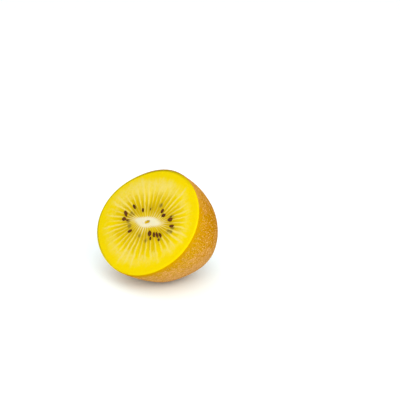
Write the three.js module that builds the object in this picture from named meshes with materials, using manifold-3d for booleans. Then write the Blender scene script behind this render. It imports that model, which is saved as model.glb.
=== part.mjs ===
// Half of a golden kiwi fruit, cut across its middle and lying on its skin, as one solid.
// Millimetres, +Z up. The origin is the middle of the small flat spot that the half rests on.
// The cut face looks towards -Y and up. Inside the fruit's own frame, +Y is the face's outward
// normal, the stem end is at the bottom of -Y, and -Z runs up the face.
import * as THREE from "three";
import { mergeVertices } from "three/addons/utils/BufferGeometryUtils.js";
import Module from "manifold-3d";

const { degToRad, lerp, smoothstep } = THREE.MathUtils;

// The oval cut face and the fruit's length from the cut to the stem end
const FACE_WIDTH = 54;
const FACE_HEIGHT = 46.2;
const HALF_LENGTH = 34.4;

// The oval leans in the face, and is a little three- and four-sided
const FACE_LEAN = degToRad(15);
const THREE_SIDED = 0.0125;
const THREE_SIDED_LEAN = degToRad(50.5);
const FOUR_SIDED = 0.009;

// The long section is a barrel: 1 = depth^DOME_POWER + radius^SIDE_POWER, both as shares
const DOME_POWER = 2.15;
const SIDE_POWER = 1.93;
const LUMP = 0.25;
const LUMPS_ROUND = 5;
const LUMP_TWIST = 6;

// How far the stem end points below level, and how deep the floor flattens the soft skin
const AXIS_DIP = degToRad(34.4);
const SPOT_DEPTH = 0.45;

// The pale core, which lies a little to the right of the axis and leans less than the face does,
// the small hollow at the axis, and the rays and seed chambers round the core
const CORE_LENGTH = 15.2;
const CORE_HEIGHT = 5.4;
const CORE_LEAN = degToRad(9);
const CORE_RIGHT = 0.8;
const HOLLOW_DEPTH = 1.1;
const HOLLOW_SHARE = 0.22;
const RAYS = 40;
const CHAMBER_DEPTH = 0.4;
const CHAMBER_DEEPEST = [0.16, 0.26];
const CHAMBER_END = 0.7;
const EDGE_ROUND = 0.5;
const EDGE_SHARE = 0.965;

// The shape of a seed, and how deep its middle is sunk, as a share of its thickness
const SEED_FLATNESS = 0.8;
const SEED_TAPER = 0.35;
const SEED_SINK = 0.3;
const SEED_SEGMENTS = 8;
const SEED_RINGS = 7;

// The stem end: a shallow dimple with a corky collar and a pit where the stalk broke off
const DIMPLE_RADIUS = 6.5;
const DIMPLE_DEPTH = 1.3;
const COLLAR_RADIUS = 2.7;
const COLLAR_WIDTH = 0.7;
const COLLAR_HEIGHT = 0.45;
const PIT_RADIUS = 1.1;
const PIT_DEPTH = 0.9;
const STEM_END_RINGS = [6.2, 4.6, 3.7, 3.1, 2.6, 2.1, 1.5, 0.8, 0];

// Two segments for each ray: one on its crest and one in the chamber beside it
const SEGMENTS = 2 * RAYS;
const DOME_RINGS = 15;
const CORE_RINGS = [0, 0.12, HOLLOW_SHARE, 0.6];
const FACE_RINGS = [0, 0.08, 0.16, 0.26, 0.38, 0.54, CHAMBER_END, 0.88, EDGE_SHARE, 1];

// Each seed that the cut shows. `ray` is its turn round the core, anticlockwise from the right
// end and counted in rays, so a half lies midway between two rays. `out` is how far it lies from
// the core's edge (0) to the skin (1). Seeds point at the core, apart from their `skew` in degrees.
const SEEDS = [
  { ray: 1.4, out: 0.23, length: 2.9, width: 1.7, skew: 12 },
  { ray: 2.4, out: 0.28, length: 1.5, width: 0.9, skew: 0 },
  { ray: 4.5, out: 0.12, length: 2.4, width: 1.7, skew: 0 },
  { ray: 5.8, out: 0.17, length: 2.4, width: 1.5, skew: 0 },
  { ray: 9.8, out: 0.16, length: 1.4, width: 0.9, skew: 0 },
  { ray: 12.7, out: 0.14, length: 1.9, width: 1.1, skew: -8 },
  { ray: 14.7, out: 0.3, length: 2.5, width: 1.3, skew: 6 },
  { ray: 17.7, out: 0.31, length: 2.8, width: 1.9, skew: -50 },
  { ray: 19.7, out: 0.18, length: 1.5, width: 0.9, skew: 0 },
  { ray: 19.4, out: 0.28, length: 2.5, width: 1.7, skew: 10 },
  { ray: 24.7, out: 0.19, length: 2.5, width: 1.6, skew: 0 },
  { ray: 31.7, out: 0.11, length: 2.7, width: 1.9, skew: 0 },
  { ray: 31.8, out: 0.22, length: 1.9, width: 1.1, skew: 0 },
  { ray: 33.3, out: 0.16, length: 2.2, width: 1.3, skew: 0 },
  { ray: 34.1, out: 0.33, length: 1.6, width: 1, skew: 0 },
  { ray: 34.3, out: 0.19, length: 2.6, width: 1.5, skew: 5 },
  { ray: 35.2, out: 0.23, length: 2.3, width: 1.3, skew: 8 },
  { ray: 38.7, out: 0.3, length: 2.3, width: 1.3, skew: 20 },
];

const COLOURS = {
  skin: new THREE.Color(0xc98f3e),
  flesh: new THREE.Color(0xf3d722),
  core: new THREE.Color(0xf6efcf),
  seed: new THREE.Color(0x3b1a1c),
  stemScar: new THREE.Color(0x8a5a26),
};
const ROUGHNESS = 0.5;

// Corners this close together are one corner, and a triangle this close to the floor lies on it
const SAME_CORNER = 1e-4;
const ON_FLOOR = 1e-3;

// Distance from the fruit's axis to its skin at the cut, at ray angle `turn`. `turn` is the
// angle of an ellipse's own formula, so rays spread evenly round the oval.
function outline(turn) {
  const x = (FACE_WIDTH / 2) * Math.cos(turn);
  const up = (FACE_HEIGHT / 2) * Math.sin(turn);
  const angle = Math.atan2(up, x) + FACE_LEAN;
  const swell =
    1 +
    THREE_SIDED * Math.cos(3 * (angle + THREE_SIDED_LEAN)) +
    FOUR_SIDED * Math.cos(4 * angle);
  const radius = Math.hypot(x, up) * swell;
  return new THREE.Vector2(radius * Math.cos(angle), radius * Math.sin(angle));
}

// The core's edge at the same ray angle
function coreEdge(turn) {
  const x = (CORE_LENGTH / 2) * Math.cos(turn);
  const up = (CORE_HEIGHT / 2) * Math.sin(turn);
  const edge = new THREE.Vector2(x, up).rotateAround(new THREE.Vector2(), CORE_LEAN);
  return edge.add(new THREE.Vector2(CORE_RIGHT, 0));
}

// How deep the seed chambers are at a place between the core's edge and the skin
function chamberDepth(turn, out) {
  const [from, to] = CHAMBER_DEEPEST;
  const ring = smoothstep(out, 0, from) * (1 - smoothstep(out, to, CHAMBER_END));
  return CHAMBER_DEPTH * ring * (0.5 - 0.5 * Math.cos(RAYS * turn));
}

// A point of the cut face, from the core's edge (out = 0) to the skin (out = 1)
function facePoint(turn, out) {
  const across = coreEdge(turn).lerp(outline(turn), out);
  const edge = Math.max(0, (out - EDGE_SHARE) / (1 - EDGE_SHARE));
  const level = -chamberDepth(turn, out) - EDGE_ROUND * edge ** 2;
  return new THREE.Vector3(across.x, level, -across.y);
}

// A point of the core's cut end, from the fruit's axis (share = 0) to the core's edge (share = 1)
function corePoint(turn, share) {
  const across = coreEdge(turn).multiplyScalar(share);
  const hollow = 1 - smoothstep(share, 0, HOLLOW_SHARE);
  return new THREE.Vector3(across.x, -HOLLOW_DEPTH * hollow, -across.y);
}

// A point of the skin, from the cut (share = 1) to the stem end (share = 0) of its radius
function skinPoint(turn, share) {
  const depth = (1 - share ** SIDE_POWER) ** (1 / DOME_POWER);
  const round = (FACE_WIDTH + FACE_HEIGHT) / 4;
  const oval = outline(turn);
  const radius = lerp(round, oval.length(), smoothstep(share, 0, 0.5));
  const lump = LUMP * Math.sin(LUMPS_ROUND * turn + LUMP_TWIST * depth) * Math.sin(Math.PI * depth);
  const across = oval.setLength(share * radius + lump);
  const level = -EDGE_ROUND - (HALF_LENGTH - EDGE_ROUND) * depth + stemEnd(share * round);
  return new THREE.Vector3(across.x, level, -across.y);
}

// How far the stem end is sunk below the plain dome, at a distance from the axis
function stemEnd(radius) {
  const dimple = DIMPLE_DEPTH * Math.exp(-((radius / DIMPLE_RADIUS) ** 2));
  const collar = COLLAR_HEIGHT * Math.exp(-(((radius - COLLAR_RADIUS) / COLLAR_WIDTH) ** 2));
  const pit = PIT_DEPTH * Math.exp(-((radius / PIT_RADIUS) ** 2));
  return dimple - collar + pit;
}

// The rings of the whole surface, from the stem end up the skin and in over the cut face
function surfaceRings() {
  const round = (FACE_WIDTH + FACE_HEIGHT) / 4;
  const lastDome = Math.acos(STEM_END_RINGS[0] / round);
  const dome = Array.from({ length: DOME_RINGS - 1 }, (_, i) =>
    Math.cos((lastDome * (i + 1)) / DOME_RINGS),
  );
  const stem = STEM_END_RINGS.map((radius) => radius / round);
  const fromTheMiddle = [
    ...CORE_RINGS.map((share) => (turn) => corePoint(turn, share)),
    ...FACE_RINGS.map((out) => (turn) => facePoint(turn, out)),
    ...[...dome, ...stem].map((share) => (turn) => skinPoint(turn, share)),
  ];
  return fromTheMiddle.reverse();
}

// A lathe with a plain profile gives the closed net of rings, which then take their real places
function fruitGeometry() {
  const rings = surfaceRings();
  const last = rings.length - 1;
  const profile = rings.map((_, i) => new THREE.Vector2(Math.sin((Math.PI * i) / last), i));
  const geometry = new THREE.LatheGeometry(profile, SEGMENTS);
  const position = geometry.getAttribute("position");
  for (let segment = 0; segment <= SEGMENTS; segment++) {
    const turn = (2 * Math.PI * (segment % SEGMENTS)) / SEGMENTS;
    rings.forEach((place, ring) => {
      const { x, y, z } = place(turn);
      position.setXYZ(segment * rings.length + ring, x, y, z);
    });
  }
  return geometry;
}

// A seed is an egg with its narrow end at the core, sunk in the floor of its chamber
function seedGeometry({ ray, out, length, width, skew }) {
  const turn = (2 * Math.PI * ray) / RAYS;
  const place = facePoint(turn, out);
  const inward = facePoint(turn, 0).sub(facePoint(turn, 1));
  const thickness = SEED_FLATNESS * width;
  const geometry = new THREE.SphereGeometry(1, SEED_SEGMENTS, SEED_RINGS);
  geometry.rotateX(Math.PI / 2);
  const position = geometry.getAttribute("position");
  for (let i = 0; i < position.count; i++) {
    const narrow = 1 - SEED_TAPER * Math.max(0, position.getZ(i));
    position.setX(i, position.getX(i) * narrow);
  }
  geometry.scale(width / 2, thickness / 2, length / 2);
  geometry.rotateY(Math.atan2(inward.x, inward.z) + degToRad(skew));
  return geometry.translate(place.x, -SEED_SINK * thickness, place.z);
}

const wasm = await Module();
wasm.setup();

function toSolid(geometry) {
  const bare = geometry.clone();
  bare.deleteAttribute("normal");
  bare.deleteAttribute("uv");
  const merged = mergeVertices(bare, SAME_CORNER);
  return new wasm.Manifold(
    new wasm.Mesh({
      numProp: 3,
      vertProperties: merged.getAttribute("position").array,
      triVerts: new Uint32Array(merged.index.array),
    }),
  );
}

// What a place on the surface shows
function tissueOf(place) {
  if (place.y < -EDGE_ROUND - CHAMBER_DEPTH) {
    const besideAxis = Math.hypot(place.x, place.z) < COLLAR_RADIUS + COLLAR_WIDTH;
    return besideAxis && place.y < -HALF_LENGTH / 2 ? "stemScar" : "skin";
  }
  const across = new THREE.Vector2(place.x - CORE_RIGHT, -place.z);
  across.rotateAround(new THREE.Vector2(), -CORE_LEAN);
  const share = Math.hypot(across.x / (CORE_LENGTH / 2), across.y / (CORE_HEIGHT / 2));
  return share < 1 ? "core" : "flesh";
}

// Back to a three.js geometry, each triangle coloured by what it belongs to
function toGeometry(solid, fruitId) {
  const mesh = solid.getMesh();
  const indexed = new THREE.BufferGeometry();
  indexed.setAttribute("position", new THREE.BufferAttribute(mesh.vertProperties, mesh.numProp));
  indexed.setIndex(new THREE.BufferAttribute(mesh.triVerts, 1));
  const geometry = indexed.toNonIndexed();
  const position = geometry.getAttribute("position");
  const colours = new Float32Array(position.count * 3);
  const corner = new THREE.Vector3();
  const centre = new THREE.Vector3();
  let run = 0;
  for (let i = 0; i < position.count; i += 3) {
    while (i >= mesh.runIndex[run + 1]) run++;
    centre.set(0, 0, 0);
    for (let j = i; j < i + 3; j++) {
      centre.addScaledVector(corner.fromBufferAttribute(position, j), 1 / 3);
    }
    const tissue = mesh.runOriginalID[run] === fruitId ? tissueOf(centre) : "seed";
    for (let j = i; j < i + 3; j++) COLOURS[tissue].toArray(colours, 3 * j);
  }
  geometry.setAttribute("color", new THREE.BufferAttribute(colours, 3));
  geometry.computeVertexNormals();
  return geometry;
}

// How the fruit's own frame leans in the part's frame
const lean = new THREE.Euler(Math.PI - AXIS_DIP, 0, 0);

// The same fruit, leaning as it lies on the floor
function laidDown(geometry) {
  return geometry.clone().applyMatrix4(new THREE.Matrix4().makeRotationFromEuler(lean));
}

// The floor as a thick slab in the fruit's own frame
function floorSlab(level) {
  const reach = 2 * FACE_WIDTH;
  const slab = new THREE.BoxGeometry(reach, reach, reach).translate(0, 0, level - reach / 2);
  return slab.applyMatrix4(new THREE.Matrix4().makeRotationFromEuler(lean).invert());
}

// The middle, by area, of all triangles that lie at the floor's level
function spotMiddle(geometry, level) {
  const position = laidDown(geometry).getAttribute("position");
  const middle = new THREE.Vector3();
  const centre = new THREE.Vector3();
  const triangle = new THREE.Triangle();
  let area = 0;
  for (let i = 0; i < position.count; i += 3) {
    triangle.setFromAttributeAndIndices(position, i, i + 1, i + 2);
    if (Math.abs(triangle.getMidpoint(centre).z - level) > ON_FLOOR) continue;
    middle.addScaledVector(centre, triangle.getArea());
    area += triangle.getArea();
  }
  return middle.divideScalar(area);
}

function makeHalf() {
  const round = fruitGeometry();
  const laid = laidDown(round);
  laid.computeBoundingBox();
  const level = laid.boundingBox.min.z + SPOT_DEPTH;
  const fruit = toSolid(round);
  const seeded = SEEDS.reduce((solid, seed) => solid.add(toSolid(seedGeometry(seed))), fruit);
  const rested = seeded.subtract(toSolid(floorSlab(level)));
  const geometry = toGeometry(rested, fruit.originalID());
  const material = new THREE.MeshStandardMaterial({
    vertexColors: true,
    roughness: ROUGHNESS,
    metalness: 0,
  });
  const half = new THREE.Mesh(geometry, material);
  half.name = "kiwi_half";
  half.rotation.copy(lean);
  half.position.copy(spotMiddle(geometry, level)).negate();
  return half;
}

const kiwi = new THREE.Group();
kiwi.add(makeHalf());

export default kiwi;
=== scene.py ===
"""Half of a golden kiwi fruit, cut across its middle and lying on its skin.

Run as a script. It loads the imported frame, makes each piece with its own operator, and stages
the fruit with a floor, soft lights and a camera. A point of the cut face is given by `turn`, the
angle of its ray, and `out`, which is 0 at the core's edge and 1 at the skin. In the materials
`out` goes on inwards, to -1 in the middle of the core.
"""

import math
from types import SimpleNamespace

import bpy
from bpy.props import FloatProperty, FloatVectorProperty, IntProperty, PointerProperty
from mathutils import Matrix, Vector


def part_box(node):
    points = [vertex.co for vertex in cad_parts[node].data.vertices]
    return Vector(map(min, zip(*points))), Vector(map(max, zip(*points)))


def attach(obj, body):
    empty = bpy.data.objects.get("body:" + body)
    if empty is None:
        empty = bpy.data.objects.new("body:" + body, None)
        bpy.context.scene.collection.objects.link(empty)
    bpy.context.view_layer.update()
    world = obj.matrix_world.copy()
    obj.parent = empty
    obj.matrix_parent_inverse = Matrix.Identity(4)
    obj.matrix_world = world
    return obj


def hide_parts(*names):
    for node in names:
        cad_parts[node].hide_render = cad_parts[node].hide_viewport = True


bl_info = {
    "name": "Golden Kiwi Half",
    "version": (1, 0, 0),
    "blender": (4, 5, 0),
    "location": "View3D > Sidebar > Kiwi",
    "description": "Makes a cut golden kiwi fruit half: flesh, skin, dots, seeds and stem scar",
    "category": "Add Mesh",
}

MM = 0.001
QUARTER_TURN = math.pi / 2
BODY = "root"
NODE = "kiwi_half"

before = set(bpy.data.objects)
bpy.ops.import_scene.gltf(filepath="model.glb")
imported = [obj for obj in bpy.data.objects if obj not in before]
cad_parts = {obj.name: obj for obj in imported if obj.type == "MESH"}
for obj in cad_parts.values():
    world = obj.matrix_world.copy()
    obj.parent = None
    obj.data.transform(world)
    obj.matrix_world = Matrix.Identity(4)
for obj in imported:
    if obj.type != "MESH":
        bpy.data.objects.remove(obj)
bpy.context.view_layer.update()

# Points nearer than this to each other become one
MERGE_DISTANCE = 0.002 * MM

# The fruit's form. Shares are parts of the way from the core to the skin, or of the full radius.
THREE_SIDED = 0.0125
THREE_SIDED_LEAN = math.radians(50.5)
FOUR_SIDED = 0.009
DOME_POWER = 2.15
SIDE_POWER = 1.93
OVAL_FROM = 0.5
LUMP = 0.25 * MM
LUMPS_ROUND = 5
LUMP_TWIST = 6
EDGE_SHARE = 0.965
EDGE_ROUND = 0.5 * MM
CHAMBER_RISE = (0.05, 0.3)
CHAMBER_FALL = (0.26, 0.7)
CREST_POWER = 2.0
CORE_SWELL = 0.12 * MM
CORE_SWELL_FALL = (0.55, 1.15)
HOLLOW_RIGHT = 0.2 * MM
HOLLOW_WIDTH = 1.6 * MM
HOLLOW_HEIGHT = 1.05 * MM
HOLLOW_SLANT = 0.35
HOLLOW_WALL = (0.45, 1.0)
DIMPLE_RADIUS = 6.5 * MM
DIMPLE_DEPTH = 1.3 * MM
COLLAR_RADIUS = 2.7 * MM
COLLAR_WIDTH = 0.7 * MM
COLLAR_HEIGHT = 0.45 * MM
PIT_RADIUS = 1.1 * MM
PIT_DEPTH = 0.9 * MM

# The seeds that the cut shows: ray number, how far out, length and width in millimetres, and skew
# in degrees. A seed midway between two rays has a half in its ray number.
SEEDS = [
    (1.4, 0.225, 2.7, 1.75, -14),
    (2.3, 0.265, 1.5, 0.65, 0),
    (4.5, 0.12, 2.3, 1.6, -36),
    (6.0, 0.17, 2.2, 1.3, 8),
    (10.1, 0.14, 1.2, 0.55, 0),
    (12.7, 0.135, 2.1, 1.1, 2),
    (14.8, 0.3, 3.0, 1.15, 3),
    (17.7, 0.31, 3.1, 1.5, -38),
    (19.8, 0.18, 1.5, 0.7, 5),
    (19.4, 0.28, 2.4, 1.8, -8),
    (24.7, 0.19, 2.4, 1.35, -20),
    (31.8, 0.11, 2.7, 1.9, 3),
    (32.0, 0.225, 1.8, 0.9, -5),
    (33.2, 0.155, 2.5, 1.2, -6),
    (34.1, 0.32, 1.5, 0.6, 0),
    (34.1, 0.185, 3.1, 1.1, 2),
    (34.95, 0.23, 2.7, 1.1, 0),
    (39.1, 0.3, 2.5, 1.2, 6),
]

# Seeds just under the cut, which only darken the flesh over them: ray number, how far out, and
# how strongly they show
SUNKEN_SEEDS = [
    (2.2, 0.3, 0.6),
    (7.4, 0.26, 1.0),
    (10.0, 0.16, 0.5),
    (16.4, 0.14, 0.7),
    (16.8, 0.2, 1.0),
    (20.4, 0.15, 0.9),
    (22.7, 0.14, 1.0),
    (28.4, 0.17, 0.8),
    (30.7, 0.26, 0.8),
    (34.1, 0.31, 0.8),
    (37.3, 0.29, 0.9),
    (37.6, 0.35, 1.0),
    (38.7, 0.34, 1.0),
]


def binary(operation):
    """A method that adds a Math node for a field and another value."""
    return lambda first, second: first.math(operation, second)


class Field:
    """An output socket of a node tree, on which Python's operators add Math nodes."""

    def __init__(self, tree, socket):
        self.tree = tree
        self.socket = socket

    def out(self, name):
        """Another output of the same node."""
        return Field(self.tree, enabled(self.socket.node.outputs, name))

    def math(self, operation, *others):
        values = dict(enumerate((self, *others)))
        return self.tree.node("ShaderNodeMath", {"operation": operation}, values)

    __add__ = __radd__ = binary("ADD")
    __sub__ = binary("SUBTRACT")
    __mul__ = __rmul__ = binary("MULTIPLY")
    __truediv__ = binary("DIVIDE")
    __gt__ = binary("GREATER_THAN")

    def __neg__(self):
        return self * -1

    def __rsub__(self, other):
        return self.tree.node("ShaderNodeMath", {"operation": "SUBTRACT"}, {0: other, 1: self})


def enabled(sockets, name):
    """The socket in use with a name, or at an index."""
    if isinstance(name, int):
        return sockets[name]
    return next(socket for socket in sockets if socket.name == name and socket.enabled)


class Tree:
    """A node tree under construction."""

    def __init__(self, tree):
        self.tree = tree
        tree.nodes.clear()

    def node(self, kind, settings=None, values=None):
        """Adds a node and returns its first output in use."""
        made = self.tree.nodes.new(kind)
        for name, value in (settings or {}).items():
            setattr(made, name, value)
        for name, value in (values or {}).items():
            socket = enabled(made.inputs, name)
            if isinstance(value, Field):
                self.tree.links.new(value.socket, socket)
            else:
                socket.default_value = value
        outputs = [socket for socket in made.outputs if socket.enabled]
        return Field(self, outputs[0]) if outputs else made

    def vector(self, x, y, z):
        return self.node("ShaderNodeCombineXYZ", None, {"X": x, "Y": y, "Z": z})

    def parts(self, vector):
        x = self.node("ShaderNodeSeparateXYZ", None, {"Vector": vector})
        return x, x.out("Y"), x.out("Z")

    def in_mm(self, vector):
        """A place in millimetres, as the noises take it."""
        settings = {"operation": "SCALE"}
        return self.node("ShaderNodeVectorMath", settings, {"Vector": vector, "Scale": 1 / MM})

    def mix(self, factor, a, b, data_type="RGBA"):
        values = {"Factor": factor, "A": a, "B": b}
        return self.node("ShaderNodeMix", {"data_type": data_type}, values)

    def noise(self, vector, scale=1.0, detail=2.0, roughness=0.5):
        values = {"Vector": vector, "Scale": scale, "Detail": detail, "Roughness": roughness}
        return self.node("ShaderNodeTexNoise", None, values)

    def swing(self, *noise):
        """Noise that swings about 0."""
        return self.noise(*noise) - 0.5

    def white_noise(self, number):
        settings = {"noise_dimensions": "1D"}
        return self.node("ShaderNodeTexWhiteNoise", settings, {"W": number})

    def bump(self, height, distance):
        values = {"Height": height, "Distance": distance, "Strength": 1.0}
        return self.node("ShaderNodeBump", None, values)


class MaterialTree(Tree):
    """A material made of one Principled shader."""

    def __init__(self, name):
        self.material = bpy.data.materials.new(name)
        self.material.use_nodes = True
        super().__init__(self.material.node_tree)

    def attribute(self, name):
        return self.node("ShaderNodeAttribute", {"attribute_name": name})

    def place(self):
        """The point's place on the object, in millimetres."""
        return self.in_mm(self.node("ShaderNodeTexCoord").out("Object"))

    def finish(self, sockets):
        shader = self.node("ShaderNodeBsdfPrincipled", None, sockets)
        self.node("ShaderNodeOutputMaterial", None, {"Surface": shader})
        return self.material


class GeometryTree(Tree):
    """A Geometry Nodes tree with a named input for each size that it is given."""

    def __init__(self, name):
        super().__init__(bpy.data.node_groups.new(name, "GeometryNodeTree"))
        self.new_socket("Geometry", "INPUT", "NodeSocketGeometry")
        self.new_socket("Geometry", "OUTPUT", "NodeSocketGeometry")
        self.entry = self.node("NodeGroupInput")
        self.values = {}

    def new_socket(self, name, in_out, kind):
        interface = self.tree.interface
        return interface.new_socket(name=name, in_out=in_out, socket_type=kind)

    def take(self, group):
        """Adds an input for each number in a property group and returns them by name."""
        fields = SimpleNamespace()
        for name, prop in type(group).__annotations__.items():
            value = getattr(group, name)
            if not isinstance(value, (int, float)):
                continue
            kind = "NodeSocketInt" if isinstance(value, int) else "NodeSocketFloat"
            socket = self.new_socket(prop.keywords["name"], "INPUT", kind)
            self.values[socket.identifier] = value
            setattr(fields, name, self.entry.out(socket.name))
        return fields

    def modify(self, mesh, name):
        """Runs the tree on a mesh and returns the result as an object with a plain mesh."""
        thing = bpy.data.objects.new(name, mesh)
        bpy.context.scene.collection.objects.link(thing)
        modifier = thing.modifiers.new(name, "NODES")
        modifier.node_group = self.tree
        for identifier, value in self.values.items():
            modifier[identifier] = value
        evaluated = thing.evaluated_get(bpy.context.evaluated_depsgraph_get())
        made = bpy.data.meshes.new_from_object(evaluated)
        thing.modifiers.clear()
        thing.data = made
        made.name = name
        return thing

    def finish(self, geometry, material):
        """Ends the tree with plain, smooth geometry in one material."""
        real = self.node("GeometryNodeRealizeInstances", None, {"Geometry": geometry})
        shaded = self.node("GeometryNodeSetShadeSmooth", None, {"Geometry": real})
        values = {"Geometry": shaded, "Material": material}
        painted = self.node("GeometryNodeSetMaterial", None, values)
        self.node("NodeGroupOutput", None, {"Geometry": painted})

    def net(self, columns, rows):
        """A flat grid that will go round the fruit: its geometry, turn and row number."""
        sizes = {"Size X": 1.0, "Size Y": 1.0, "Vertices X": columns + 1, "Vertices Y": rows + 1}
        grid = self.node("GeometryNodeMeshGrid", None, sizes)
        x, y, _ = self.parts(self.node("GeometryNodeInputPosition"))
        return grid, (0.5 - x) * math.tau, (y + 0.5) * rows

    def moved(self, geometry, position):
        values = {"Geometry": geometry, "Position": position}
        return self.node("GeometryNodeSetPosition", None, values)

    def merged(self, geometry):
        values = {"Geometry": geometry, "Distance": MERGE_DISTANCE}
        return self.node("GeometryNodeMergeByDistance", None, values)

    def kept(self, geometry, name, value, data_type="FLOAT", domain="POINT"):
        """The geometry with a value stored on it under a name."""
        settings = {"data_type": data_type, "domain": domain}
        values = {"Geometry": geometry, "Name": name, "Value": value}
        return self.node("GeometryNodeStoreNamedAttribute", settings, values)

    def named(self, name, data_type="FLOAT"):
        settings = {"data_type": data_type}
        return self.node("GeometryNodeInputNamedAttribute", settings, {"Name": name})

    def random(self, low, high, seed):
        values = {"Min": low, "Max": high, "Seed": seed}
        return self.node("FunctionNodeRandomValue", {"data_type": "FLOAT"}, values)

    def finish_strewn(self, shape, points, rotation, scale, material):
        """Ends the tree with a copy of a shape on each point, each with a tint by chance."""
        values = {"Points": points, "Instance": shape, "Rotation": rotation, "Scale": scale}
        instances = self.node("GeometryNodeInstanceOnPoints", None, values)
        tint = self.random(0.0, 1.0, seed=8)
        self.finish(self.kept(instances, "tint", tint, domain="INSTANCE"), material)


# Maths that works on fields and on plain numbers alike


def on_either(operation, plain):
    """A function that adds a Math node for a field, and works a plain number out."""

    def apply(first, *others):
        return first.math(operation, *others) if isinstance(first, Field) else plain(first, *others)

    return apply


sin = on_either("SINE", math.sin)
cos = on_either("COSINE", math.cos)
atan2 = on_either("ARCTAN2", math.atan2)
root = on_either("SQRT", math.sqrt)
power = on_either("POWER", lambda base, exponent: base**exponent)
larger = on_either("MAXIMUM", max)
smaller = on_either("MINIMUM", min)
whole = on_either("FLOOR", math.floor)
rest_of = on_either("FLOORED_MODULO", lambda value, step: value % step)
distance = on_either("ABSOLUTE", abs)
exponential = on_either("EXPONENT", math.exp)


def clamped(value):
    return smaller(larger(value, 0.0), 1.0)


def blend(a, b, share):
    return a + (b - a) * share


def share_between(value, low, high):
    return clamped((value - low) / (high - low))


def smooth(value, low, high):
    share = share_between(value, low, high)
    return share * share * (3 - 2 * share)


def hill(value, width):
    """1 where the value is 0, falling off over a width."""
    ratio = value / width
    return exponential(-(ratio * ratio))


# Where things are on the fruit


def reach_of(across, up):
    return root(across * across + up * up)


def outline(size, turn):
    """The cut's edge, across and up the face from its middle."""
    across = size.face_width / 2 * cos(turn)
    up = size.face_height / 2 * sin(turn)
    heading = atan2(up, across) + size.face_lean
    three = cos(3 * (heading + THREE_SIDED_LEAN)) * THREE_SIDED
    radius = reach_of(across, up) * (1 + three + cos(4 * heading) * FOUR_SIDED)
    return radius * cos(heading), radius * sin(heading)


def core_edge(size, turn):
    """The core's edge, across and up the face from its middle."""
    across = size.core_length / 2 * cos(turn)
    up = size.core_height / 2 * sin(turn)
    lean_cos, lean_sin = cos(size.core_lean), sin(size.core_lean)
    right = size.core_right + across * lean_cos - up * lean_sin
    return right, across * lean_sin + up * lean_cos


def face_place(size, turn, out):
    """A point of the cut face, across and up from its middle, beyond the core."""
    core_across, core_up = core_edge(size, turn)
    across, up = outline(size, turn)
    return blend(core_across, across, out), blend(core_up, up, out)


def chamber_ring(out):
    """How fully the seed chambers are sunk at a distance from the core."""
    return smooth(out, *CHAMBER_RISE) * (1 - smooth(out, *CHAMBER_FALL))


def stem_end(radius):
    """How far the stem end is sunk below the plain dome, at a distance from the axis."""
    dimple = DIMPLE_DEPTH * hill(radius, DIMPLE_RADIUS)
    collar = COLLAR_HEIGHT * hill(radius - COLLAR_RADIUS, COLLAR_WIDTH)
    return dimple - collar + PIT_DEPTH * hill(radius, PIT_RADIUS)


def skin_place(size, turn, share, inset):
    """A point of the skin: across, up and outward, and how deep it is below the cut.

    `share` is the point's part of the full radius, and `inset` its depth inside the skin.
    """
    depth = power(larger(1 - power(share, SIDE_POWER), 0.0), 1 / DOME_POWER)
    mean = (size.face_width + size.face_height) / 4
    across, up = outline(size, turn)
    oval = reach_of(across, up)
    rounded = blend(mean, oval, smooth(share, 0.0, OVAL_FROM))
    lump = sin(LUMPS_ROUND * turn + LUMP_TWIST * depth) * sin(math.pi * depth) * LUMP
    radius = share * (rounded - inset) + lump
    length = size.half_length - EDGE_ROUND - inset
    level = stem_end(share * mean) - EDGE_ROUND - length * depth
    return radius * across / oval, radius * up / oval, level, depth


def in_frame(size, across, up, level):
    """Coordinates of a point given by the face's own directions."""
    dip_cos, dip_sin = cos(size.axis_dip), sin(size.axis_dip)
    x = across + size.face_x
    y = up * dip_sin - level * dip_cos + size.face_y
    z = up * dip_cos + level * dip_sin + size.face_z
    return x, y, z


def face_middle(size):
    """Where the middle of the cut face is, so that the cut's edge fits the CAD node's box."""
    low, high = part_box(NODE)
    steps = 2 * size.rays
    edge = [outline(size, math.tau * step / steps) for step in range(steps)]
    right = max(across for across, _ in edge)
    top = max(up for _, up in edge)
    bottom = min(up for _, up in edge)
    dip_cos, dip_sin = math.cos(size.axis_dip), math.sin(size.axis_dip)
    x = high.x - right
    y = low.y - bottom * dip_sin - EDGE_ROUND * dip_cos
    z = high.z - top * dip_cos + EDGE_ROUND * dip_sin
    return Vector((x, y, z))


# What a user may change


def number(name, description, default, **settings):
    return FloatProperty(name=name, description=description, default=default, **settings)


def length(name, description, default):
    return number(name, description, default, unit="LENGTH", min=0.0, precision=5)


def angle(name, description, degrees):
    return number(name, description, math.radians(degrees), unit="ROTATION")


def count(name, description, default):
    return IntProperty(name=name, description=description, default=default, min=1)


def colour(name, description, red, green, blue):
    """A colour property, given as a screen colour from 0 to 255."""
    default = tuple(linear(part / 255) for part in (red, green, blue))
    return FloatVectorProperty(
        name=name, description=description, default=default, subtype="COLOR", min=0.0, max=1.0
    )


def rgba(colour_value):
    """A colour property as a node socket takes it."""
    return (*colour_value, 1.0)


def linear(part):
    return part / 12.92 if part <= 0.04045 else ((part + 0.055) / 1.055) ** 2.4


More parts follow.
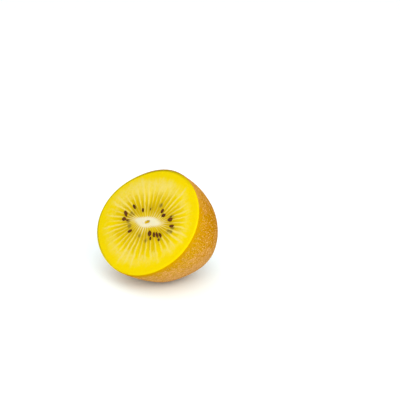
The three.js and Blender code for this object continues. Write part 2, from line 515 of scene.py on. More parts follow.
class KiwiShape(bpy.types.PropertyGroup):
    face_width: length("Face Width", "Long width of the cut", 54 * MM)
    face_height: length("Face Height", "Short width of the cut", 46.2 * MM)
    half_length: length("Half Length", "From the cut to the stem end", 34.4 * MM)
    face_lean: angle("Face Lean", "How far the oval leans in the face", 15)
    axis_dip: angle("Axis Dip", "How far the stem end points below level", 34.4)
    core_length: length("Core Length", "Length of the pale core", 15.2 * MM)
    core_height: length("Core Height", "Height of the pale core", 5.4 * MM)
    core_lean: angle("Core Lean", "How far the core leans in the face", 9)
    core_right: length("Core Right", "How far right of the axis the core's middle is", 0.8 * MM)
    rays: count("Rays", "Number of rays, and of seed chambers between them", 40)
    face_x: number("Face X", "Middle of the cut face, set from the frame", 0)
    face_y: number("Face Y", "Middle of the cut face, set from the frame", 0)
    face_z: number("Face Z", "Middle of the cut face, set from the frame", 0)


class KiwiFlesh(bpy.types.PropertyGroup):
    chamber_depth: length("Chamber Depth", "How deep the seed chambers are", 0.28 * MM)
    hollow_depth: length("Hollow Depth", "How deep the core's hollow is", 1.1 * MM)
    grain: length("Grain", "Height of the flesh's grain", 0.05 * MM)
    core: colour("Core", "Dense pale core", 202, 194, 162)
    hollow: colour("Hollow", "Inside of the core's hollow", 188, 156, 22)
    ray: colour("Ray", "Pale rays beside the core", 200, 177, 68)
    halo: colour("Halo", "Outer ends of the rays and pale flesh between them", 204, 184, 87)
    inner: colour("Inner Flesh", "Clear flesh of the seed chambers", 185, 156, 0)
    core_side: colour("Core Side", "Chambers beside the core", 162, 131, 6)
    outer: colour("Outer Flesh", "Plain flesh under the skin", 205, 180, 0)
    # Painted shade: the rim colour is laid on the face's edge only at the upper left, where it is
    # in shade
    rim: colour("Rim", "Flesh at the edge of the skin", 130, 118, 0)
    sunken: colour("Sunken Seed", "Flesh over a seed", 98, 82, 38)


class KiwiSkin(bpy.types.PropertyGroup):
    thickness: length("Thickness", "Thickness of the skin", 0.24 * MM)
    # Painted light: the skin's edge at the cut is painted bright on the left, though it is in shade
    # there
    painted_lit_edge: colour("Cut Edge", "Edge of the skin at the cut, away from the light", 220, 196, 0)
    near_cut: colour("Near The Cut", "Skin that the flesh shines through", 182, 131, 0)
    # Painted shade: a darker gold for the upper side of the skin, deepening back from the cut
    upper: colour("Upper Side", "Golden skin on the upper side", 172, 113, 0)
    # Partly painted reflection: the lower skin takes this tan as the white floor's light on it
    body: colour("Body", "Skin away from the cut", 196, 143, 79)
    stem_side: colour("Stem Side", "Skin towards the stem end", 172, 123, 66)
    stem_ring: colour("Stem Ring", "Dry skin round the stem scar", 118, 78, 38)
    dots: count("Dots", "Number of dots, before the skin's ends are kept bare", 6600)
    dot_radius: length("Dot Radius", "Radius of a mean dot", 0.205 * MM)
    dot: colour("Dot", "Dots on the skin", 230, 180, 108)


class KiwiSeed(bpy.types.PropertyGroup):
    plumpness: number("Plumpness", "Size of the seeds against the listed ones", 1.0)
    flatness: number("Flatness", "Thickness of a seed as a share of its width", 0.8)
    taper: number("Taper", "How much narrower the end at the core is", 0.35)
    sink: number("Sink", "Depth of a seed's middle as a share of its thickness", 0.08)
    seed: colour("Seed", "Wet seed coat", 94, 50, 16)


class KiwiStage(bpy.types.PropertyGroup):
    azimuth: angle("Azimuth", "Camera's turn round the fruit", 47.3)
    elevation: angle("Elevation", "Camera's height above the horizon", 20)
    camera_distance: length("Camera Distance", "From the middle of the face", 450 * MM)
    lens: number("Lens", "Focal length in millimetres", 98.3)
    aim_right: length("Aim Right", "How far right of the face the camera aims", 22.25 * MM)
    aim_up: length("Aim Up", "How far above the face's middle the camera aims", 8.51 * MM)
    sun: number("Sun", "Strength of the soft sun in watts a square metre", 1.0)
    fill_power: number("Fill Power", "Power of the fill light in watts", 1.6)
    sky: number("Sky", "Strength of the white surroundings", 0.925)


# Flesh

FLESH_COLUMNS = 560
CORE_ROWS = 18
FACE_ROWS = 100
DOME_ROWS = 16
RAY_BEND = 0.09
RAY_BEND_LENGTH = 9 * MM
RAY_BEND_SLICE = 3.7
INSET_POWER = 4
GRAIN_SCALE = 1.7
WAVE_SCALE = 0.28
WAVES_TO_GRAIN = 3
GRAIN_FALL = (0.9, EDGE_SHARE)
SUNKEN_SPREAD = 1.15 * MM


def ray_turn(tree, turn, across, up):
    """The ray angle, bent a little so that the rays aren't ruler-straight."""
    place = tree.vector(across / RAY_BEND_LENGTH, up / RAY_BEND_LENGTH, RAY_BEND_SLICE)
    return turn + tree.swing(place) * RAY_BEND


def flesh_tree(context, material):
    """The cut face, and the dome just inside the skin, as one closed body."""
    tree = GeometryTree("Kiwi Flesh")
    size = tree.take(context.scene.kiwi_shape)
    flesh = tree.take(context.scene.kiwi_flesh)
    skin = tree.take(context.scene.kiwi_skin)

    grid, turn, row = tree.net(FLESH_COLUMNS, CORE_ROWS + FACE_ROWS + DOME_ROWS)
    core_share = share_between(row, 0, CORE_ROWS)
    out = share_between(row, CORE_ROWS, CORE_ROWS + FACE_ROWS)
    on_dome = row > CORE_ROWS + FACE_ROWS + 0.5
    dome_share = cos(share_between(row - CORE_ROWS - FACE_ROWS, 0, DOME_ROWS) * QUARTER_TURN)

    # The face shrinks towards its edge, so that it ends inside the skin
    across, up = face_place(size, turn, out)
    inside = 1 - skin.thickness / reach_of(*outline(size, turn)) * power(out, INSET_POWER)
    across = across * core_share * inside
    up = up * core_share * inside
    bent = ray_turn(tree, turn, across, up)
    level = face_level(tree, size, flesh, bent, out, core_share, across, up)
    hollow = hollow_share(tree, across, up)
    level = level - hollow * flesh.hollow_depth
    on_face = tree.vector(*in_frame(size, across, up, level))

    *dome, _ = skin_place(size, turn, dome_share, skin.thickness)
    x, y, z = in_frame(size, *dome)
    under_skin = tree.vector(x, y, larger(z, skin.thickness))
    position = tree.mix(on_dome, on_face, under_skin, "VECTOR")

    seeds = tree.moved(tree.entry, seed_position(tree, size, 0.0))
    dark = darkness(tree, seeds, position)
    ring_place = tree.vector(cos(bent), sin(bent), out + core_share - 1)
    kept = tree.kept(grid, "ring_place", ring_place, "FLOAT_VECTOR")
    kept = tree.kept(kept, "sunken", dark)
    kept = tree.kept(kept, "hollow", hollow)
    tree.finish(tree.merged(tree.moved(kept, position)), material)
    return tree


def hollow_share(tree, across, up):
    """1 in the core's hollow and 0 outside, with a ragged edge."""
    place = tree.in_mm(tree.vector(across, up, 0.0))
    ragged = tree.noise(place, 0.9) * 0.9 + 0.55
    right = across - HOLLOW_RIGHT
    slanted = up - right * HOLLOW_SLANT
    reach = power(right / HOLLOW_WIDTH, 2) + power(slanted / HOLLOW_HEIGHT, 2)
    return 1 - smooth(root(reach) * ragged, *HOLLOW_WALL)


def face_level(tree, size, flesh, turn, out, core_share, across, up):
    """Height of the cut face: rays, chambers, core, grain and the rounded edge."""
    crest = power(0.5 + 0.5 * cos(size.rays * turn), CREST_POWER)
    chambers = flesh.chamber_depth * chamber_ring(out) * (1 - crest)
    edge = share_between(out, EDGE_SHARE, 1.0)
    place = tree.in_mm(tree.vector(across, up, 0.0))
    grain = tree.swing(place, GRAIN_SCALE, 3.0, 0.6) * 2 * flesh.grain
    waves = tree.swing(place, WAVE_SCALE) * flesh.grain * WAVES_TO_GRAIN
    swell = CORE_SWELL * (1 - smooth(core_share + out * 4, *CORE_SWELL_FALL))
    inner = 1 - smooth(out, *GRAIN_FALL)
    return swell - chambers - EDGE_ROUND * edge * edge + (grain + waves) * inner


def seed_position(tree, size, sink):
    """Where each point of a seed list belongs on the face."""
    turn = tree.named("ray") * math.tau / size.rays
    across, up = face_place(size, turn, tree.named("out"))
    return tree.vector(*in_frame(size, across, up, -sink))


def darkness(tree, seeds, position):
    """The strength of the nearest of the sunken seeds, falling off around it."""
    values = {"Geometry": seeds, "Sample Position": position}
    near = tree.node("GeometryNodeProximity", {"target_element": "POINTS"}, values)
    nearest = tree.node("GeometryNodeSampleNearest", {"domain": "POINT"}, values)
    settings = {"data_type": "FLOAT", "domain": "POINT"}
    values = {"Geometry": seeds, "Value": tree.named("strength"), "Index": nearest}
    strength = tree.node("GeometryNodeSampleIndex", settings, values)
    return hill(near.out("Distance"), SUNKEN_SPREAD) * strength


def seed_points(name, seeds, columns):
    """A mesh of loose points, one for each seed, which a tree moves to their places."""
    mesh = bpy.data.meshes.new(name)
    mesh.from_pydata([(0, 0, 0)] * len(seeds), [], [])
    for attribute, values in zip(columns, zip(*seeds)):
        stored = mesh.attributes.new(attribute, "FLOAT", "POINT")
        stored.data.foreach_set("value", [float(value) for value in values])
    return mesh


# Flesh colours: millimetres for radii and widths, and else places from the core to the skin
CORE_RADIUS = 5.4
FACE_RADIUS = 25.0
STREAKS_ROUND = 26
STREAKS_OUT = 4
RAY_WAVER = 0.4
RAY_CHANCES = 31.3
CHAMBER_CHANCES = 77.7
TO_OUTER = (0.28, 0.72)
BROWN_RISE = (0.0, 0.12)
BROWN_FALL = (0.17, 0.36)
BROWN_SHARE = 0.5
FINGER_SIDES = (0.45, 0.98)
HALO_RISE = (0.36, 0.6)
HALO_END = 0.85
HALO_FALL = 0.2
SIDE_PART = (0.75, 1.0)
RAY_WIDTHS = (0.26, 0.62)
RAY_WIDENING = (0.02, 0.6)
RAY_START = (-0.1, 0.02)
RAY_END = 0.74
RAY_FALL = 0.24
RIM_PART = (0.935, 0.985)
CORE_FALL = (-0.32, 0.08)
SMUDGE_SHARE = 0.72


def flesh_material(look, shape):
    """Core, rays and chambers of the cut, drawn from each point's ray and place on it."""
    tree = MaterialTree("kiwi_flesh")
    ray_x, ray_y, out = tree.parts(tree.attribute("ring_place").out("Vector"))
    place = tree.place()
    soft = tree.swing(place, 0.3)
    mottle = tree.swing(place, 0.9, 3.0, 0.6)
    fine = tree.swing(place, 2.2, 4.0, 0.6)
    along = tree.vector(ray_x * STREAKS_ROUND, ray_y * STREAKS_ROUND, out * STREAKS_OUT)
    streaks = tree.swing(along, 1.0, 3.0, 0.6)

    # How far the point is from the nearest ray and from the middle of its chamber
    turn = atan2(ray_y, ray_x)
    spacing = math.tau / shape.rays * blend(CORE_RADIUS, FACE_RADIUS, larger(out, 0.0))
    phase = turn * (shape.rays / math.tau) + tree.swing(place, 0.5) * RAY_WAVER
    nearest = whole(phase + 0.5)
    off_ray = distance(phase - nearest) * spacing
    off_chamber = distance(phase - whole(phase) - 0.5) * 2
    ray_number = rest_of(nearest + shape.rays, shape.rays)
    ray_chance = tree.white_noise(ray_number + RAY_CHANCES)
    chamber_number = rest_of(whole(phase) + shape.rays, shape.rays)
    chamber_chance = tree.white_noise(chamber_number + CHAMBER_CHANCES)

    # Clear flesh: gold, browner a little way out from the core, and plain yellow near the skin
    rise = smooth(out + soft * 0.2 + (chamber_chance - 0.5) * 0.16, *TO_OUTER)
    field = tree.mix(rise, rgba(look.inner), rgba(look.outer))
    brown = smooth(out + streaks * 0.1, *BROWN_RISE) * (1 - smooth(out + soft * 0.1, *BROWN_FALL))
    field = tree.mix(brown * BROWN_SHARE, field, rgba(look.core_side))

    # Pale flesh between the ends of the rays, with fingers of clear flesh reaching into it
    chamber_end = 0.5 + 0.26 * chamber_chance + soft * 0.15
    finger = 1 - smooth(off_chamber + fine * 0.5, *FINGER_SIDES)
    finger = finger * (1 - smooth(out + fine * 0.05, chamber_end - 0.06, chamber_end + 0.04))
    upper_left = smooth(ray_y - ray_x, 1.05, 1.4)
    halo_end = HALO_END + 0.13 * upper_left + soft * 0.2 + streaks * 0.16
    halo = smooth(out + streaks * 0.15, *HALO_RISE)
    halo = halo * (1 - smooth(out, halo_end - HALO_FALL, halo_end))
    to_top = smooth(ray_y, *SIDE_PART)
    to_left = smooth(-ray_x, *SIDE_PART)
    to_right = smooth(ray_x, *SIDE_PART)
    uneven = 0.47 + 0.45 * to_top - 0.35 * to_left - 0.2 * to_right
    halo = halo * (1 - finger * (1 - 0.6 * to_top)) * (uneven + 1.5 * mottle + 0.4 * streaks)

    # Pale rays from the core, wider outwards, each as strong and as long as chance has it
    width = blend(*RAY_WIDTHS, smooth(out, *RAY_WIDENING)) * (0.7 + 0.55 * ray_chance)
    ray = 1 - smooth(off_ray, width * 0.1, width * 1.1)
    ray_end = RAY_END + 0.2 * ray_chance + soft * 0.12
    ray = ray * (1 - smooth(out, ray_end - RAY_FALL, ray_end)) * smooth(out, *RAY_START)
    ray = ray * (0.55 + 0.55 * ray_chance + streaks * 0.5 + fine * 0.3)
    ray = ray * blend(0.35 + 0.5 * ray_chance, 1.0, smooth(out + streaks * 0.1, 0.12, 0.36))
    pale = tree.mix(smooth(out, 0.1, 0.5), rgba(look.ray), rgba(look.halo))
    paleness = 1 - (1 - clamped(ray)) * (1 - clamped(halo))
    rayed = tree.mix(paleness, field, pale)

    # Painted shade: the rim, and faintly the outer flesh, are darkened towards the upper left,
    # where the face is in shade
    shaded_side = smooth(ray_y - ray_x, -0.5, 1.0)
    edge = smooth(out, *RIM_PART) * 0.8 + smooth(out, 0.4, 0.9) * 0.07
    with_painted_rim_shade = tree.mix(edge * shaded_side, rayed, rgba(look.rim))

    # The core is uneven and feathers out between the rays
    bulges = 0.06 * cos(2 * turn - 0.6) + 0.065 * cos(4 * turn + 0.9) + 0.03 * sin(3 * turn)
    feather = streaks * 0.36 + fine * 0.16 + 0.1 * cos(phase * math.tau)
    core_mask = 1 - smooth(out - feather - bulges, *CORE_FALL)
    cored = tree.mix(core_mask, with_painted_rim_shade, rgba(look.core))

    # The hollow is gold, and the seeds under the cut show through as grey smudges
    in_hollow = tree.attribute("hollow").out("Fac")
    hollowed = tree.mix(smooth(in_hollow + fine * 0.3, 0.25, 0.7), cored, rgba(look.hollow))
    sunken = tree.attribute("sunken").out("Fac")
    smudge = smooth(sunken * (1 + streaks * 2.0 + fine), 0.12, 0.85) * SMUDGE_SHARE
    shaded = tree.mix(smudge * (1 - 0.5 * clamped(ray)), hollowed, rgba(look.sunken))

    return tree.finish(
        {
            "Base Color": shaded,
            "Roughness": 0.4 + 0.3 * fine,
            "Normal": tree.bump(fine * 0.6 + streaks * 0.4, 0.06 * MM),
            "Subsurface Weight": 0.2,
            "Subsurface Radius": (1.0, 0.62, 0.12),
            "Subsurface Scale": 0.6 * MM,
            "Specular IOR Level": 0.015,
        }
    )


class KIWI_OT_flesh(bpy.types.Operator):
    """Make the flesh with its cut face, core, rays and seed chambers"""

    bl_idname = "kiwi.flesh"
    bl_label = "Flesh"

    def execute(self, context):
        scene = context.scene
        material = flesh_material(scene.kiwi_flesh, scene.kiwi_shape)
        points = seed_points("sunken_seeds", SUNKEN_SEEDS, ("ray", "out", "strength"))
        flesh = flesh_tree(context, material).modify(points, "flesh")
        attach(flesh, BODY)
        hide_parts(NODE)
        return {"FINISHED"}


# Skin

SKIN_COLUMNS = 360
INNER_ROWS = 24
RIM_ROWS = 3
OUTER_ROWS = 150
RIM_LIFT = 0.06 * MM
DENT_DEPTH = 0.25 * MM
DENT_SCALE = 0.16
DENTS_FROM = (0.0, 0.12)
PORE_DEPTH = 0.06 * MM
PORE_SCALE = 2.4

# Skin colours: heights in millimetres above the floor, and else depths from the cut, which are 1
# at the stem end
MIDDLE_HEIGHT = 22
TAN_BY_DEPTH = 0.62
# Painted light by height: lower skin takes the floor's painted reflection, upper skin the painted
# shade
PAINTED_LIGHT_BY_HEIGHT = 0.03
UPPER_BY_DEPTH = 2.2
TOP_PART = (33.0, 41.0)
STEM_PART = (0.28, 1.05)
RING_PART = (0.968, 0.992)
CUT_EDGE = (0.0, 0.012)
LEFT_PART = (-0.65, -0.1)
PLAIN_EDGE = (0.0, 0.09)
SPECKLES = 0.22
PORES = 0.45
PORE_SHADE = 0.5


def skin_tree(context, material):
    """A closed thin cup: up its inside, over the rim at the cut and down its outside."""
    tree = GeometryTree("Kiwi Skin")
    size = tree.take(context.scene.kiwi_shape)
    skin = tree.take(context.scene.kiwi_skin)

    grid, turn, row = tree.net(SKIN_COLUMNS, INNER_ROWS + RIM_ROWS + OUTER_ROWS)
    rise = share_between(row, 0, INNER_ROWS)
    over = share_between(row, INNER_ROWS, INNER_ROWS + RIM_ROWS)
    fall = share_between(row - INNER_ROWS - RIM_ROWS, 0, OUTER_ROWS)
    share = sin(rise * QUARTER_TURN) * cos(fall * QUARTER_TURN)
    inset = skin.thickness * (1 - over)
    across, up, level, depth = skin_place(size, turn, share, inset)
    level = level + RIM_LIFT * sin(over * math.pi)
    x, y, z = in_frame(size, across, up, level)

    place = tree.in_mm(tree.vector(x, y, z))
    dents = tree.swing(place, DENT_SCALE) * DENT_DEPTH * over * smooth(fall, *DENTS_FROM)
    pores = tree.swing(place, PORE_SCALE, 3.0, 0.6) * PORE_DEPTH * over
    smaller_share = 1 + (dents + pores) / (0.5 * size.face_width)
    x, y, z = in_frame(size, across * smaller_share, up * smaller_share, level)
    position = tree.vector(x, y, larger(z, inset))

    skin_ring = tree.vector(cos(turn), sin(turn), depth * over)
    kept = tree.kept(grid, "skin_place", skin_ring, "FLOAT_VECTOR")
    tree.finish(tree.merged(tree.moved(kept, position)), material)
    return tree


def skin_colour(tree, look):
    """Skin colour: gold where the flesh shines through, tan further back; painted shade and floor
    reflection by height.

    Returns the colour, the noises that it is made with, and how far the skin's own marks show.
    """
    right, _, depth = tree.parts(tree.attribute("skin_place").out("Vector"))
    place = tree.place()
    _, _, height = tree.parts(place)
    soft = tree.swing(place, 0.2, 2.0, 0.5)
    patches = tree.swing(place, 0.65, 4.0, 0.62)
    fine = tree.swing(place, 1.5, 3.0, 0.65)
    # Tan further from the cut, and lower down as a painted reflection of the white floor
    tan = TAN_BY_DEPTH * depth + PAINTED_LIGHT_BY_HEIGHT * (MIDDLE_HEIGHT - height) + soft * 0.6
    tan_and_painted_bounce = smooth(tan + patches * 1.5 + fine * 0.7, 0.12, 0.85) * smooth(depth, 0.0, 0.1)
    tan_and_painted_bounce = larger(tan_and_painted_bounce, smooth(height + patches * 10 + soft * 30, *TOP_PART) * 0.5)
    # Painted shade: the upper side, more so further back from the cut, takes the darker upper gold
    high = UPPER_BY_DEPTH * depth + PAINTED_LIGHT_BY_HEIGHT * (height - MIDDLE_HEIGHT) + soft * 0.5
    high = smooth(high, 0.1, 1.0)
    golden = tree.mix(high, rgba(look.near_cut), rgba(look.upper))
    skin = tree.mix(tan_and_painted_bounce, golden, rgba(look.body))
    brown = smooth(depth + soft * 0.5 + patches * 0.3, *STEM_PART) * 0.8
    skin = tree.mix(brown, skin, rgba(look.stem_side))
    dry = smooth(depth + patches * 0.02, *RING_PART) * 0.7
    skin = tree.mix(dry, skin, rgba(look.stem_ring))
    # Painted light: the skin's edge at the cut is painted bright gold on the left, where it is in
    # shade
    painted_lit_edge = (1 - smooth(depth, *CUT_EDGE)) * (1 - smooth(right, *LEFT_PART))
    skin = tree.mix(painted_lit_edge, skin, rgba(look.painted_lit_edge))
    marked = smooth(depth, *PLAIN_EDGE)
    speckled = smooth(fine + patches * 0.4, 0.04, 0.2) * SPECKLES * marked
    return tree.mix(speckled, skin, rgba(look.dot)), patches, fine, marked


def skin_material(look):
    """The skin's colour with fine dark pores."""
    tree = MaterialTree("kiwi_skin")
    base, patches, fine, marked = skin_colour(tree, look)
    pore = tuple(part * PORE_SHADE for part in look.near_cut)
    pored = tree.mix(smooth(-fine, 0.0, 0.14) * PORES * marked, base, rgba(pore))
    return tree.finish(
        {
            "Base Color": pored,
            "Roughness": 0.5 + 0.25 * patches,
            "Normal": tree.bump(fine, 0.09 * MM),
            "Subsurface Weight": 0.08,
            "Subsurface Radius": (1.0, 0.5, 0.1),
            "Subsurface Scale": 0.8 * MM,
            "Specular IOR Level": 0.0,
        }
    )


class KIWI_OT_skin(bpy.types.Operator):
    """Make the thin skin, from its rim at the cut to the dimple at the stem end"""

    bl_idname = "kiwi.skin"
    bl_label = "Skin"

    def execute(self, context):
        material = skin_material(context.scene.kiwi_skin)
        empty = bpy.data.meshes.new("skin")
        skin = skin_tree(context, material).modify(empty, "skin")
        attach(skin, BODY)
        return {"FINISHED"}


# Dots on the skin

DOT_HEIGHT_SHARE = 0.22
DOT_SIZES = (0.45, 1.35)
DOT_STRETCH = (0.8, 1.3)
DOTS_FROM = 0.012
DOTS_TO = 0.975
DOTS_ABOVE_FLOOR = 0.3 * MM


def dots_tree(context, material):
    """Low round dots, strewn over the outside of the skin that the tree is run on."""
    tree = GeometryTree("Kiwi Skin Dots")
    skin = tree.take(context.scene.kiwi_skin)
    _, _, depth = tree.parts(tree.named("skin_place", "FLOAT_VECTOR"))
    _, _, height = tree.parts(tree.node("GeometryNodeInputPosition"))
    dotted = (depth > DOTS_FROM) * (DOTS_TO - depth > 0.0) * (height > DOTS_ABOVE_FLOOR)
    area = tree.node("GeometryNodeInputMeshFaceArea")
    settings = {"data_type": "FLOAT", "domain": "FACE"}
    total = tree.node(
        "GeometryNodeAttributeStatistic", settings, {"Geometry": tree.entry, "Attribute": area}
    ).out("Sum")
    density = 2 * skin.dots / total
    values = {"Mesh": tree.entry, "Selection": dotted, "Density": density, "Seed": 11}
    points = tree.node("GeometryNodeDistributePointsOnFaces", None, values)
    dot = tree.node("GeometryNodeMeshIcoSphere", None, {"Radius": 1.0, "Subdivisions": 1})
    wide = skin.dot_radius * tree.random(*DOT_SIZES, seed=5)
    stretch = tree.random(*DOT_STRETCH, seed=6)
    scale = tree.vector(wide * stretch, wide, wide * DOT_HEIGHT_SHARE)
    tree.finish_strewn(dot, points, points.out("Rotation"), scale, material)
    return tree


def dots_material(look):
    """Dots from the skin's colour, with its painted light and shade, to pale tan, each with its own
    tint.
    """
    tree = MaterialTree("kiwi_skin_dots")
    tint = tree.attribute("tint").out("Fac")
    place = tree.place()
    fine = tree.noise(place, 4.0, 3.0, 0.6)
    skin, _, _, marked = skin_colour(tree, look)
    base = tree.mix((0.1 + tint * 0.6 + 0.2 * fine) * marked, skin, rgba(look.dot))
    return tree.finish(
        {
            "Base Color": base,
            "Roughness": 0.6 + 0.2 * fine,
            "Normal": tree.bump(fine, 0.03 * MM),
            "Specular IOR Level": 0.0,
        }
    )


class KIWI_OT_skin_dots(bpy.types.Operator):
    """Strew the fine raised dots over the skin"""

    bl_idname = "kiwi.skin_dots"
    bl_label = "Skin Dots"

    def execute(self, context):
        material = dots_material(context.scene.kiwi_skin)
        skin = bpy.data.objects["skin"].data.copy()
        dots = dots_tree(context, material).modify(skin, "skin_dots")
        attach(dots, BODY)
        return {"FINISHED"}


# Seeds

SEED_SEGMENTS = 20
SEED_RINGS = 14
SEED_TILTS = (-0.15, 0.08)
SEED_TURNS = (-0.08, 0.08)
TAPER_POWER = 1.4
SEED_UNEVENNESS = 0.07
SEED_SHADE = 0.3


def seeds_tree(context, material):
    """Egg-shaped seeds, one on each point of the list, pointing at the core."""
    tree = GeometryTree("Kiwi Seeds")
    size = tree.take(context.scene.kiwi_shape)
    seed = tree.take(context.scene.kiwi_seed)

    turn = tree.named("ray") * math.tau / size.rays
    inner = tree.vector(*in_frame(size, *face_place(size, turn, 0.0), 0.0))
    outer = tree.vector(*in_frame(size, *face_place(size, turn, 1.0), 0.0))
    inward = tree.node("ShaderNodeVectorMath", {"operation": "SUBTRACT"}, {0: inner, 1: outer})
    outward = tree.vector(0.0, -cos(size.axis_dip), sin(size.axis_dip))
    axes = {"Primary Axis": inward, "Secondary Axis": outward}
    settings = {"primary_axis": "Z", "secondary_axis": "Y"}
    pointed = tree.node("FunctionNodeAxesToRotation", settings, axes)
    skew = tree.named("skew") * math.radians(1)
    tilt = tree.random(*SEED_TILTS, seed=3)
    tipped = tree.vector(tilt, skew + tree.random(*SEED_TURNS, seed=4), 0.0)
    turned = tree.node(
        "FunctionNodeRotateRotation",
        {"rotation_space": "LOCAL"},
        {"Rotation": pointed, "Rotate By": tipped},
    )

    width = tree.named("width") * seed.plumpness * MM
    thickness = width * seed.flatness
    points = tree.moved(tree.entry, seed_position(tree, size, thickness * seed.sink))
    scale = tree.vector(width, thickness, tree.named("length") * seed.plumpness * MM)
    tree.finish_strewn(seed_shape(tree, seed), points, turned, scale, material)
    return tree


def seed_shape(tree, seed):
    """One seed about its own middle, with its narrow end towards +Z."""
    settings = {"Segments": SEED_SEGMENTS, "Rings": SEED_RINGS, "Radius": 1.0}
    ball = tree.node("GeometryNodeMeshUVSphere", None, settings)
    x, y, z = tree.parts(tree.node("GeometryNodeInputPosition"))
    narrow = 1 - seed.taper * power(larger(z, 0.0), TAPER_POWER)
    pitted = 1 + tree.swing(tree.vector(x, y, z), 5.0) * SEED_UNEVENNESS
    position = tree.vector(x * narrow * pitted / 2, y * narrow * pitted / 2, z / 2)
    return tree.moved(tree.kept(ball, "along", z), position)


def seeds_material(look):
    """Dark brown, pitted and a little paler at the pointed end."""
    tree = MaterialTree("kiwi_seeds")
    tint = tree.attribute("tint").out("Fac")
    along = tree.attribute("along").out("Fac")
    pits = tree.noise(tree.place(), 5.0, 2.0, 0.5)
    dark = tuple(part * SEED_SHADE for part in look.seed)
    base = tree.mix(0.35 * tint + 0.5 * pits, rgba(look.seed), rgba(dark))
    tipped = tree.mix(smooth(along, 0.7, 1.0) * 0.6, base, rgba(look.seed))
    return tree.finish(
        {
            "Base Color": tipped,
            "Roughness": 0.3 + 0.2 * pits,
            "Normal": tree.bump(pits, 0.06 * MM),
            "Specular IOR Level": 0.06,
        }
    )


class KIWI_OT_seeds(bpy.types.Operator):
    """Set the dark seeds in their chambers"""

    bl_idname = "kiwi.seeds"
    bl_label = "Seeds"

    def execute(self, context):
        material = seeds_material(context.scene.kiwi_seed)
        points = seed_points("seeds", SEEDS, ("ray", "out", "length", "width", "skew"))
        seeds = seeds_tree(context, material).modify(points, "seeds")
        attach(seeds, BODY)
        return {"FINISHED"}


# Stem scar

SCAR_COLUMNS = 120
SCAR_ROWS = 26
SCAR_RADIUS = 3.7 * MM
CORK_HEIGHT = 0.16 * MM
CRACKS_ROUND = 5
CRACKS_OUT = 1.5
RINGS_OUT = 7
CORK_DARK = (0.13, 0.06, 0.02, 1)
CORK_LIGHT = (0.4, 0.22, 0.085, 1)
CORK_PALE = (0.5, 0.31, 0.13, 1)
PIT_DARK = (0.045, 0.022, 0.01, 1)
PIT_EDGE = (0.12, 0.5)


def scar_tree(context, material):
    """A corky disc over the collar and pit, its edge tucked into the skin."""
    tree = GeometryTree("Kiwi Stem Scar")
    size = tree.take(context.scene.kiwi_shape)

    grid, turn, row = tree.net(SCAR_COLUMNS, 2 * SCAR_ROWS)
    folded = SCAR_ROWS - distance(row - SCAR_ROWS)
    under = 1 - share_between(row, SCAR_ROWS - 1, SCAR_ROWS)
    reach = sin(share_between(folded, 0, SCAR_ROWS) * QUARTER_TURN)
    mean = (size.face_width + size.face_height) / 4
    ragged = 0.5 * tree.noise(tree.vector(cos(turn) * 2, sin(turn) * 2, 0.0), 1.0) + 0.75
    share = reach * SCAR_RADIUS / mean * blend(1.0, ragged, smooth(reach, 0.5, 1.0))
    across, up, level, _ = skin_place(size, turn, share, 0.0)

    crack_place = tree.vector(
        cos(turn) * CRACKS_ROUND, sin(turn) * CRACKS_ROUND, reach * CRACKS_OUT
    )
    cracks = tree.noise(crack_place, 1.0, 3.0, 0.65)
    rings = tree.noise(tree.vector(reach * RINGS_OUT, cos(turn), sin(turn)), 1.0, 2.0, 0.6)
    rough = (cracks * 0.6 + rings * 0.4 - 0.5) * 2 * smooth(reach, 0.1, 0.4)
    thick = CORK_HEIGHT * (1 - smooth(reach, 0.8, 1.0)) * (1 + rough)
    sunk = CORK_HEIGHT * (smooth(reach, 0.85, 1.0) + under)
    x, y, z = in_frame(size, across, up, level - thick * (1 - under) + sunk)
    kept = tree.kept(grid, "scar_place", tree.vector(reach, cracks, rings), "FLOAT_VECTOR")
    tree.finish(tree.merged(tree.moved(kept, tree.vector(x, y, z))), material)
    return tree


def scar_material():
    """Cracked cork with paler rings, and a dark pit in its middle."""
    tree = MaterialTree("kiwi_stem_scar")
    reach, cracks, rings = tree.parts(tree.attribute("scar_place").out("Vector"))
    fine = tree.noise(tree.place(), 3.5, 4.0, 0.7)
    cork = tree.mix(smooth(cracks, 0.35, 0.65), CORK_DARK, CORK_LIGHT)
    pale = tree.mix(smooth(rings * 0.6 + fine * 0.4, 0.45, 0.65) * 0.5, cork, CORK_PALE)
    dark = tree.mix(1 - smooth(reach, *PIT_EDGE), pale, PIT_DARK)
    return tree.finish(
        {
            "Base Color": dark,
            "Roughness": 0.8 + 0.15 * fine,
            "Normal": tree.bump(fine, 0.12 * MM),
            "Specular IOR Level": 0.05,
        }
    )


class KIWI_OT_stem_scar(bpy.types.Operator):
    """Make the corky scar where the stalk broke off"""

    bl_idname = "kiwi.stem_scar"
    bl_label = "Stem Scar"

    def execute(self, context):
        empty = bpy.data.meshes.new("stem_scar")
        scar = scar_tree(context, scar_material()).modify(empty, "stem_scar")
        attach(scar, BODY)
        return {"FINISHED"}


# Stage

FLOOR_RADIUS = 3.0
FLOOR_COLOUR = (0.87, 0.95, 0.955, 1)
SUN_PLACE = (0.5, -0.45, 0.58)
SUN_ANGLE = math.radians(60)
FILL_PLACE = (0.4, -0.24, 0.25)
FILL_SIZE = 0.4


def make_floor():
    material = MaterialTree("floor").finish({"Base Color": FLOOR_COLOUR, "Roughness": 0.9})
    mesh = bpy.data.meshes.new("floor")
    corners = [(-1, -1, 0), (1, -1, 0), (1, 1, 0), (-1, 1, 0)]
    mesh.from_pydata([Vector(corner) * FLOOR_RADIUS for corner in corners], [], [(0, 1, 2, 3)])
    mesh.materials.append(material)
    floor = bpy.data.objects.new("floor", mesh)
    bpy.context.scene.collection.objects.link(floor)


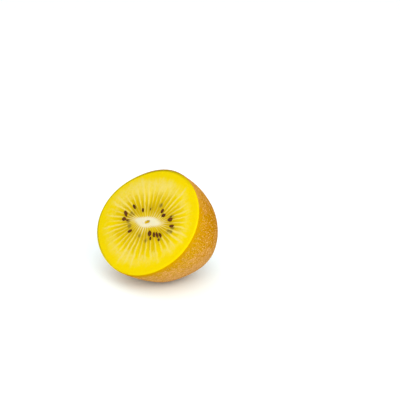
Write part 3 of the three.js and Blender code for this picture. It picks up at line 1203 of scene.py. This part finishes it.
def make_light(name, kind, place, strength):
    """A light that points at the fruit. Returns its settings."""
    data = bpy.data.lights.new(name, kind)
    data.energy = strength
    light = bpy.data.objects.new(name, data)
    light.location = place
    light.rotation_euler = Vector(place).to_track_quat("Z", "Y").to_euler()
    bpy.context.scene.collection.objects.link(light)
    return data


def make_camera(stage, middle):
    """The camera stands at the photograph's angle and aims a little beside the face."""
    turn, height = stage.azimuth, stage.elevation
    right = Vector((math.cos(turn), math.sin(turn), 0))
    back = Vector(
        (
            math.sin(turn) * math.cos(height),
            -math.cos(turn) * math.cos(height),
            math.sin(height),
        )
    )
    up = back.cross(right)
    place = middle + back * stage.camera_distance
    target = middle + right * stage.aim_right + up * stage.aim_up
    data = bpy.data.cameras.new("camera")
    data.lens = stage.lens
    data.clip_start = 0.01
    camera = bpy.data.objects.new("camera", data)
    camera.location = place
    camera.rotation_euler = (place - target).to_track_quat("Z", "Y").to_euler()
    bpy.context.scene.collection.objects.link(camera)
    bpy.context.scene.camera = camera


def make_world(strength):
    """Plain white surroundings."""
    world = bpy.data.worlds.new("surroundings")
    world.use_nodes = True
    tree = Tree(world.node_tree)
    values = {"Color": (1, 1, 1, 1), "Strength": strength}
    white = tree.node("ShaderNodeBackground", None, values)
    tree.node("ShaderNodeOutputWorld", None, {"Surface": white})
    bpy.context.scene.world = world


class KIWI_OT_stage(bpy.types.Operator):
    """Put the fruit on a white floor, with soft lights and the camera"""

    bl_idname = "kiwi.stage"
    bl_label = "Stage"

    def execute(self, context):
        scene = context.scene
        stage, shape = scene.kiwi_stage, scene.kiwi_shape
        make_floor()
        make_world(stage.sky)
        make_light("sun", "SUN", SUN_PLACE, stage.sun).angle = SUN_ANGLE
        make_light("fill", "AREA", FILL_PLACE, stage.fill_power).size = FILL_SIZE
        make_camera(stage, Vector((shape.face_x, shape.face_y, shape.face_z)))
        scene.view_settings.view_transform = "Standard"
        return {"FINISHED"}


class KIWI_PT_sidebar(bpy.types.Panel):
    """The fruit's operators and settings"""

    bl_idname = "KIWI_PT_sidebar"
    bl_label = "Golden Kiwi Half"
    bl_space_type = "VIEW_3D"
    bl_region_type = "UI"
    bl_category = "Kiwi"

    def draw(self, context):
        for operator in OPERATORS:
            self.layout.operator(operator.bl_idname)
        for name, group in SETTINGS.items():
            box = self.layout.box()
            for prop in group.__annotations__:
                box.prop(getattr(context.scene, name), prop)


OPERATORS = (
    KIWI_OT_flesh,
    KIWI_OT_skin,
    KIWI_OT_skin_dots,
    KIWI_OT_seeds,
    KIWI_OT_stem_scar,
    KIWI_OT_stage,
)
SETTINGS = {
    "kiwi_shape": KiwiShape,
    "kiwi_flesh": KiwiFlesh,
    "kiwi_skin": KiwiSkin,
    "kiwi_seed": KiwiSeed,
    "kiwi_stage": KiwiStage,
}
CLASSES = (*SETTINGS.values(), *OPERATORS, KIWI_PT_sidebar)


def register():
    for item in CLASSES:
        bpy.utils.register_class(item)
    for name, group in SETTINGS.items():
        setattr(bpy.types.Scene, name, PointerProperty(type=group))


def unregister():
    for name in SETTINGS:
        delattr(bpy.types.Scene, name)
    for item in reversed(CLASSES):
        bpy.utils.unregister_class(item)


def main():
    register()
    shape = bpy.context.scene.kiwi_shape
    shape.face_x, shape.face_y, shape.face_z = face_middle(shape)
    bpy.ops.kiwi.flesh()
    bpy.ops.kiwi.skin()
    bpy.ops.kiwi.skin_dots()
    bpy.ops.kiwi.seeds()
    bpy.ops.kiwi.stem_scar()
    bpy.ops.kiwi.stage()


if __name__ == "__main__":
    main()
